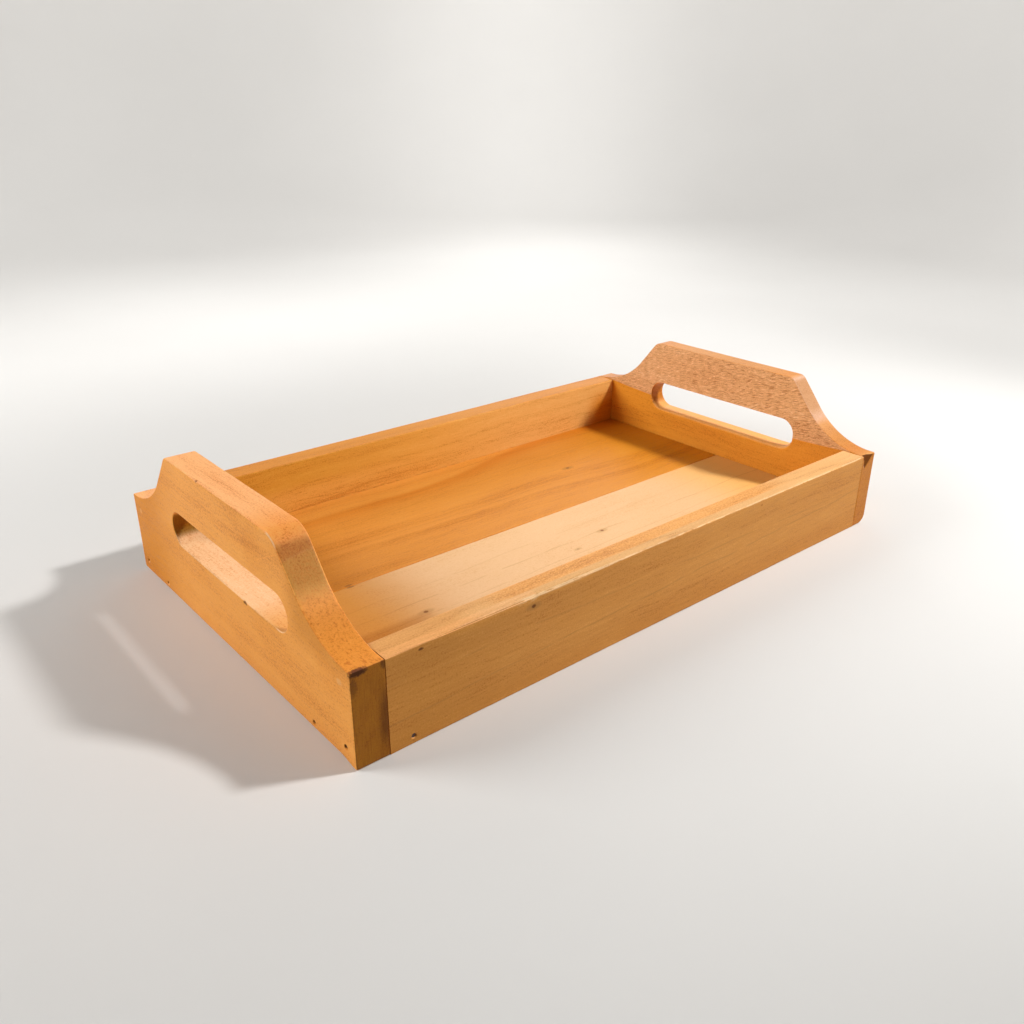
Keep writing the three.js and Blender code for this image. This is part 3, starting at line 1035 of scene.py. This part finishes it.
def right_board_wood():
    tones = ((0.54, 0.19, 0.04), (0.77, 0.36, 0.1), (0.86, 0.45, 0.15))
    wood = Wood(
        "right_board_wood", Y, 5, tones, (240, 230), 8,
        (0.55, 0.5, 0.35, 0.06, 0.5), (0.45, 0.22, 0.08),
    )
    inner = wood.facing(X, -0.75, -0.93)
    edge_line = wood.total(ROUGH_EDGE_Z / MM, wood.times(wood.y, wood.y, ROUGH_EDGE_RISE * MM))
    above = wood.math("SUBTRACT", wood.z, edge_line)
    rough = wood.times(inner, wood.fade(above, -0.4, 0.6))
    smooth = wood.times(inner, wood.fade(above, 0.4, -0.6))
    # torn fibres: short slanting dashes with pale wisps between them, denser towards the front and top
    warp = wood.noise(wood.place, (0.1, 0.1, 0.1), 2, 0.5, 7, "Color")
    warp = wood.vector("SUBTRACT", warp, (0.5, 0.5, 0.5))
    slanted = wood.add("CombineXYZ", {0: wood.x, 1: wood.y, 2: wood.total(wood.z, wood.times(wood.y, 0.2))})
    slanted = wood.vector("MULTIPLY_ADD", warp, (0, 4, 4), slanted)
    torn = wood.noise(slanted, (1, 0.16, 1.4), 3, 0.66, 9)
    wisps = wood.noise(slanted, (1.2, 0.24, 1.9), 3, 0.66, 10)
    dense = wood.total(0.6, wood.times(wood.ramp(Y, 60, -60), 0.3))
    wood.tint((1.1, 1.34, 2.2), rough)
    wood.tint((0.6, 0.42, 0.29), rough, dense, wood.fade(torn, 0.51, 0.37), 0.9)
    wood.tint((1.34, 1.48, 1.75), rough, wood.fade(wisps, 0.51, 0.68), 0.9)
    wood.tint((0.66, 0.48, 0.34), rough, dense, wood.fade(wisps, 0.44, 0.33), 0.6)
    wood.tint((1.04, 0.88, 0.35), smooth)
    wood.tint((1.06, 1.12, 1), smooth, wood.ramp(Y, 0, 80))
    line = wood.between(above, -0.5, 0.2, 0.5)
    wood.tint((1.12, 1.1, 1.05), inner, line, 0.5)
    torn_height = wood.total(wood.times(torn, 2.4), wood.times(wisps, 1.6))
    wood.height = wood.total(wood.height, wood.times(rough, torn_height))
    wood.roughness = wood.total(0.44, wood.times(rough, 0.3))
    wood.tint((1.1, 1.14, 1.15), wood.facing(Z, 0.12, 0.35), wood.facing(X, 0.3, 0), wood.ramp(Z, 43, 42))
    # the shaped top: orange at the flat's front end, pale and pinkish down the slopes, orange coves
    top = wood.facing(Z, 0.25, 0.5)
    reach = wood.math("ABSOLUTE", wood.y)
    shaped = wood.times(top, wood.ramp(Z, 51, 52))
    wood.tint((0.9, 0.86, 1), shaped)
    wood.tint((1, 0.9, 0.72), shaped, wood.fade(reach, 30, 58), wood.fade(reach, 64, 60))
    wood.tint((1.08, 1.38, 2.7), shaped, wood.between(reach, 62, 86, 3))
    wood.tint((0.94, 0.84, 0.6), shaped, wood.fade(reach, 86, 102))
    wood.tint((1, 0.82, 0.62), shaped, wood.between(reach, 108, 119, 5), 0.5)
    wood.end_marks(206, BRAD_HOLES + FILLED_HOLES, 0.2)
    # inside the splinter's scoop the wood is painted dark: painted shade in the recess
    scoop_shade = wood.times(wood.ramp(Y, -119, -121), wood.facing(Z, 0.8, 0.5))
    for (x0, z0), (x1, z1), _ in SCOOP_SIDES:
        length = math.hypot(x1 - x0, z1 - z0)
        right, up = (z1 - z0) / length, -(x1 - x0) / length
        offset = -(x0 * right + z0 * up) / MM
        from_edge = wood.total(wood.times(wood.x, right), wood.times(wood.z, up), offset)
        scoop_shade = wood.times(scoop_shade, wood.fade(from_edge, -0.15, 0.45))
    wood.paint((0.17, 0.055, 0.012), scoop_shade, 0.88)
    return wood.finish(0.06, (0.71, 0.53, 0.18))


def front_rail_wood():
    tones = ((0.45, 0.155, 0.024), (0.62, 0.267, 0.057), (0.72, 0.34, 0.085))
    wood = Wood(
        "front_rail_wood", X, 9, tones, (-160, -60), 11,
        (0.75, 0.5, 0.4, 0.1, 0.5), (0.38, 0.18, 0.05),
    )
    face = wood.facing(Y, -0.6, -0.9)
    top = wood.facing(Z, 0.5, 0.8)
    # painted shade: the front face darkened and browned near the floor
    wood.tint((0.92, 0.86, 0.7), face, wood.ramp(Z, 15, 1), 0.6)
    # painted shade: the front face darker towards its left end, and greyer at its upper left
    wood.tint((0.91, 0.89, 0.8), face, wood.ramp(X, -100, -175))
    upper_left_shade = wood.times(wood.ramp(X, 20, -140), wood.ramp(Z, 26, 46))
    wood.tint((0.84, 0.83, 0.82), face, upper_left_shade, 0.6)
    wood.streak(Z, X, 22, 0.035, 0.8, 5, (0.38, 0.165, 0.042), 0.4, 2)
    wood.streak(Z, X, 33, -0.02, 0.9, 7, (0.38, 0.16, 0.04), 0.3, 3)
    # the top: sawn and orange along its inner part, worn smooth and pale outside
    wood.tint((1.2, 1.5, 2.7), top)
    rough = wood.times(top, wood.band(X, -122, 104, 20), wood.ramp(Y, -120, -118))
    torn = wood.noise(wood.place, (0.34, 1.4, 0.5), 3, 0.68, 9)
    wood.tint((1.06, 0.92, 0.71), rough)
    wood.tint((0.8, 0.58, 0.38), rough, wood.fade(torn, 0.52, 0.38), 0.2)
    wood.height = wood.total(wood.height, wood.times(rough, torn, 2.2))
    specks = wood.noise(wood.place, (0.9, 1.3, 0.9), 2, 0.6, 15)
    wood.tint((1.12, 1.2, 1.3), rough, wood.fade(specks, 0.52, 0.64), 0.8)
    wood.tint((0.9, 0.74, 0.52), rough, wood.fade(specks, 0.46, 0.36), 0.6)
    outer = wood.times(top, wood.ramp(Y, -118.5, -120.5), wood.band(X, -200, -99.5, 0.5))
    wood.tint((1.08, 1.05, 1.1), outer)
    wood.tint((1.06, 1.04, 1.02), top, wood.ramp(X, 95, 130))
    wood.tint((1, 0.88, 0.7), top, wood.ramp(X, -120, -150))
    # the outer arris is chipped down to pale wood along its right part, painted pale partly as a highlight
    # on the rounded edge
    arris = wood.times(wood.facing(Z, 0.15, 0.45), wood.facing(Y, -0.15, -0.45))
    chips_and_highlight = wood.fade(wood.noise(wood.place, (0.16, 0.6, 0.6), 3, 0.6, 14), 0.36, 0.52)
    wood.paint((0.93, 0.68, 0.38), arris, chips_and_highlight, wood.ramp(X, -114, -106), 0.5)
    wood.knot((-102.2, -125, 46.1), 1.3, X, UMBER)
    wood.spot((-169.2, -125, 49), (1.9, 1.6, 1), UMBER, 0.9, 0.4)
    wood.spot((-174.8, -125, 4.1), HOLE, UMBER, 0.85, 0.2)
    wood.spot((80.5, -125, 48.1), (1.4, 1.4, 1), RUST, 0.6, 0.3)
    return wood.finish(0.05, (0.6, 0.5, 0.4), (1.3, 1.3, 1.32))


def back_rail_wood():
    tones = ((0.6, 0.235, 0.032), (0.83, 0.416, 0.084), (0.9, 0.5, 0.12))
    wood = Wood(
        "back_rail_wood", X, 13, tones, (190, -40), 8,
        (0.7, 0.5, 0.45, 0.1, 0.5), (0.45, 0.2, 0.05),
    )
    inner = wood.facing(Y, -0.6, -0.9)
    olive = wood.times(wood.ramp(Z, 27, 38), wood.ramp(X, 40, -120))
    wood.tint((0.86, 0.82, 0.46), inner, olive, 0.8)
    wood.tint((1.03, 1.12, 1.6), inner, wood.ramp(X, -20, 120))
    # painted shade: the inner face darkened and reddened in the corner beside the right end board
    corner = wood.times(wood.ramp(X, 158, 180), wood.ramp(Z, 50, 30))
    wood.tint((0.78, 0.5, 0.1), inner, corner)
    wood.tint((0.86, 0.66, 0.54), wood.facing(Z, 0.5, 0.8))
    wood.tint((0.9, 0.8, 0.85), wood.facing(Y, 0.6, 0.9))
    for x in (-174.8, 174.8):
        wood.spot((x, 125, 4.1), HOLE, BROWN, 0.85, 0.2)
    return wood.finish(0.05, (0.6, 0.5, 0.4))


def pale_floor_wood():
    tones = ((0.72, 0.36, 0.13), (0.86, 0.53, 0.268), (0.91, 0.6, 0.34))
    wood = Wood(
        "pale_floor_wood", X, 17, tones, (-20, -75), 13,
        (0.4, 0.38, 0.3, 0.08, 0.4), (0.6, 0.31, 0.1),
    )
    for number, (y, slope, strength) in enumerate((
        (-43.5, 0.004, 0.4), (-29, 0.014, 0.18), (-58, 0.006, 0.24), (-89, 0.008, 0.15),
    )):
        wood.streak(Y, X, y, slope, 0.7, 5, (0.52, 0.235, 0.07), strength, 20 + number)
    # painted shadow: the floor darkened beside the left end board
    wood.tint((0.8, 0.57, 0.2), wood.ramp(X, -84, -152))
    # painted shadow: the floor darkened and yellowed in the right end board's shadow
    wood.tint((0.95, 0.83, 0.45), wood.ramp(X, 100, 176))
    beside = wood.times(wood.ramp(X, -112, -124), wood.band(Y, -65, -55, 2.5))
    wood.tint((0.7, 0.56, 0.38), beside, 0.5)
    wood.knot((-118.4, -55.3, FLOOR_Z), 1.4, X, BROWN)
    wood.knot((27.7, -44.1, FLOOR_Z), 1.2, X, BROWN)
    wood.knot((-2.5, -53.3, FLOOR_Z), 0.8, X, (0.36, 0.13, 0.03), 0.5)
    wood.spot((-135.4, -5.2, FLOOR_Z), (3.4, 1.4, 1.6), BROWN, 0.6, 0.5)
    return wood.finish(0.04)


def warm_floor_wood():
    tones = ((0.52, 0.155, 0.014), (0.73, 0.28, 0.043), (0.82, 0.355, 0.068))
    wood = Wood(
        "warm_floor_wood", X, 21, tones, (150, -50), 12,
        (0.6, 0.48, 0.35, 0.08, 0.45), (0.45, 0.18, 0.035),
    )
    # painted shadow: the floor darkened beside the left end board
    wood.tint((0.7, 0.64, 0.23), wood.ramp(X, -105, -165))
    # painted shadow: the floor darkened in the right end board's shadow
    wood.tint((0.88, 0.84, 0.29), wood.ramp(X, 90, 180))
    # a redder streak runs between the open floor and the lighter strip along the back rail
    wave = wood.noise(wood.only_x(wood.x), (0.012, 1, 1), 2, 0.5, 30)
    bend = wood.times(wood.ramp(X, -20, 120), 22)
    edge = wood.total(87, wood.contrast(wave, 10), bend)
    past = wood.math("SUBTRACT", wood.y, edge)
    wood.tint((0.94, 0.78, 0.5), wood.fade(past, -16, -1), wood.fade(past, 3, -2), 0.6)
    wood.tint((1.12, 1.22, 1.3), wood.fade(past, -2, 5), wood.ramp(X, 140, 30))
    wood.streak(Y, X, 70, 0.05, 0.8, 8, (0.52, 0.185, 0.022), 0.35, 32)
    wood.knot((84.6, 48.9, FLOOR_Z), 1.4, X, BROWN)
    wood.spot((-135.4, -3, FLOOR_Z), (3.4, 1.2, 1.6), BROWN, 0.6, 0.5)
    return wood.finish(0.04)


def brad_steel():
    """Bright-drawn wire gone dull, with light rust on the heads."""
    steel = Graph("brad_steel")
    place = steel.in_millimetres(steel.tree.nodes.new("ShaderNodeTexCoord"))
    rust = steel.fade(steel.noise(place, (1.4, 1.4, 1.4), 4, 0.65), 0.47, 0.62)
    drawn = steel.noise(place, (5, 5, 5), 2, 0.5, 2)
    clean = steel.blend(drawn, (0.10, 0.09, 0.08), (0.17, 0.155, 0.14))
    return steel.shade({
        "Base Color": steel.blend(rust, clean, (0.12, 0.042, 0.015)),
        "Metallic": steel.math("SUBTRACT", 1, rust),
        "Roughness": steel.math("ADD", 0.38, steel.times(rust, 0.4)),
        "Normal": steel.bumped(0.4, 0.05, drawn),
    })


def stage_paper():
    """The pale floor under the tray: plain, with only a faint unevenness."""
    paper = Graph("stage_paper")
    texture = paper.tree.nodes.new("ShaderNodeTexCoord")
    cloud = paper.noise(texture.outputs["Object"], (3, 3, 3), 3, 0.5)
    return paper.shade({
        "Base Color": paper.blend(cloud, (0.70, 0.685, 0.66), (0.76, 0.745, 0.72)),
        "Roughness": 0.85,
        "Specular IOR Level": 0.2,
    })


# ---------------------------------------------------------------- the scene

BOARDS = (
    ("left_end_board", "end_board_orange", make_left_board, left_board_wood),
    ("right_end_board", "end_board_rose", make_right_board, right_board_wood),
    ("front_rail", "rail_tan", make_front_rail, front_rail_wood),
    ("back_rail", "rail_tan", make_back_rail, back_rail_wood),
    ("bottom_board_front", "floor_pale", make_pale_board, pale_floor_wood),
    ("bottom_board_rear", "floor_warm", make_warm_board, warm_floor_wood),
)

for node, slot_name, make, make_material in BOARDS:
    board = make()
    board.data.materials.append(make_material())
    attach(board, "root")
    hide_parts(node)

steel = brad_steel()
for name, node_object in frame["nodes"].items():
    if "brad" in name:
        node_object.data.materials.clear()
        node_object.data.materials.append(steel)


FLOOR_RADIUS = 1.3
SWEEP_RADIUS = 0.7
WALL_TOP = 1.6
STAGE_SIDES = 96
STAGE_RINGS = 12


def add_stage():
    """A round pale floor that sweeps up into a wall on every side."""
    profile = [(radius, 0) for radius in np.linspace(0.05, FLOOR_RADIUS, STAGE_RINGS)]
    for angle in np.linspace(0, QUARTER, STAGE_RINGS)[1:]:
        reach, height = SWEEP_RADIUS * math.sin(angle), SWEEP_RADIUS * (1 - math.cos(angle))
        profile.append((FLOOR_RADIUS + reach, height))
    profile.append((FLOOR_RADIUS + SWEEP_RADIUS, WALL_TOP))
    turns = [2 * math.pi * k / STAGE_SIDES for k in range(STAGE_SIDES)]
    vertices = [(0, 0, 0)]
    vertices += [(r * math.cos(t), r * math.sin(t), z) for r, z in profile for t in turns]
    faces = [(0, 1 + k, 1 + (k + 1) % STAGE_SIDES) for k in range(STAGE_SIDES)]
    for ring in range(len(profile) - 1):
        inner, outer = 1 + ring * STAGE_SIDES, 1 + (ring + 1) * STAGE_SIDES
        for k in range(STAGE_SIDES):
            after = (k + 1) % STAGE_SIDES
            faces.append((inner + k, outer + k, outer + after, inner + after))
    floor = link("stage_floor", smooth_mesh("stage_floor", vertices, faces))
    floor.data.materials.append(stage_paper())


def add_light(name, kind, power, place, away, **settings):
    """A light at a place, which shines against the direction away."""
    data = bpy.data.lights.new(name, kind)
    data.energy = power
    for key, value in settings.items():
        setattr(data, key, value)
    light = link(name, data)
    light.rotation_mode = "QUATERNION"
    light.rotation_quaternion = away.to_track_quat("Z", "Y")
    light.location = place


def around(target, azimuth, elevation, distance):
    """A place at a distance from a target, and the direction to it from there."""
    a, e = math.radians(azimuth), math.radians(elevation)
    away = Vector((math.cos(e) * math.cos(a), math.cos(e) * math.sin(a), math.sin(e)))
    return Vector(target) + away * distance, away


# a small hard-edged lamp from the front right, brightest over the tray's right half
KEY_POWER = 51
KEY_PLACE = ((0.10, -0.01, 0.03), -45, 52, 1.15)
KEY_LOOK = {"shadow_soft_size": 0.07, "spot_size": math.radians(70), "spot_blend": 1.0}
# name, power, azimuth, elevation, distance and width
SOFTBOX_TARGET = (0, 0, 0.03)
SOFTBOXES = (("back_left", 14, 150, 28, 1.5, 0.8), ("back_right", 1.3, 45, 18, 1.4, 0.5))
# spots above the tray that face outwards and down, so that they light the surround and not the tray
WASH_PLACE = (0, 0, 1.3)
WASH_FALL = 0.5
WASH_LOOK = {"shadow_soft_size": 0.2, "spot_size": math.radians(100), "spot_blend": 0.5}
WASHES = (
    ("wash_back_right", 10, 50),
    ("wash_back", 50, 38),
    ("wash_back_left", 90, 50),
    ("wash_right", -40, 45),
)
WORLD_STRENGTH = 0.03


def add_lights():
    add_light("key", "SPOT", KEY_POWER, *around(*KEY_PLACE), **KEY_LOOK)
    for name, power, azimuth, elevation, distance, width in SOFTBOXES:
        place, away = around(SOFTBOX_TARGET, azimuth, elevation, distance)
        add_light(name, "AREA", power, place, away, shape="DISK", size=width)
    for name, azimuth, power in WASHES:
        angle = math.radians(azimuth)
        inward = Vector((-math.cos(angle), -math.sin(angle), WASH_FALL))
        add_light(name, "SPOT", power, WASH_PLACE, inward, **WASH_LOOK)
    world = bpy.data.worlds.new("studio")
    bpy.context.scene.world = world
    world.use_nodes = True
    background = world.node_tree.nodes["Background"]
    background.inputs["Color"].default_value = (1, 1, 1, 1)
    background.inputs["Strength"].default_value = WORLD_STRENGTH


# where the photograph was taken from: millimetres of lens, metres and degrees
LENS = 32.944
SENSOR = 36
CAMERA_PLACE = (-0.36699, -0.42159, 0.27762)
CAMERA_TURNS = ((-40.1874, "Z"), (65.5065, "X"), (0.2330, "Z"))


def add_camera():
    data = bpy.data.cameras.new("camera")
    data.lens = LENS
    data.sensor_width = SENSOR
    camera = link("camera", data)
    pose = Matrix.Translation(Vector(CAMERA_PLACE))
    for angle, axis in CAMERA_TURNS:
        pose = pose @ Matrix.Rotation(math.radians(angle), 4, axis)
    camera.matrix_world = pose
    bpy.context.scene.camera = camera


add_stage()
add_lights()
add_camera()
bpy.context.scene.view_settings.view_transform = "Standard"
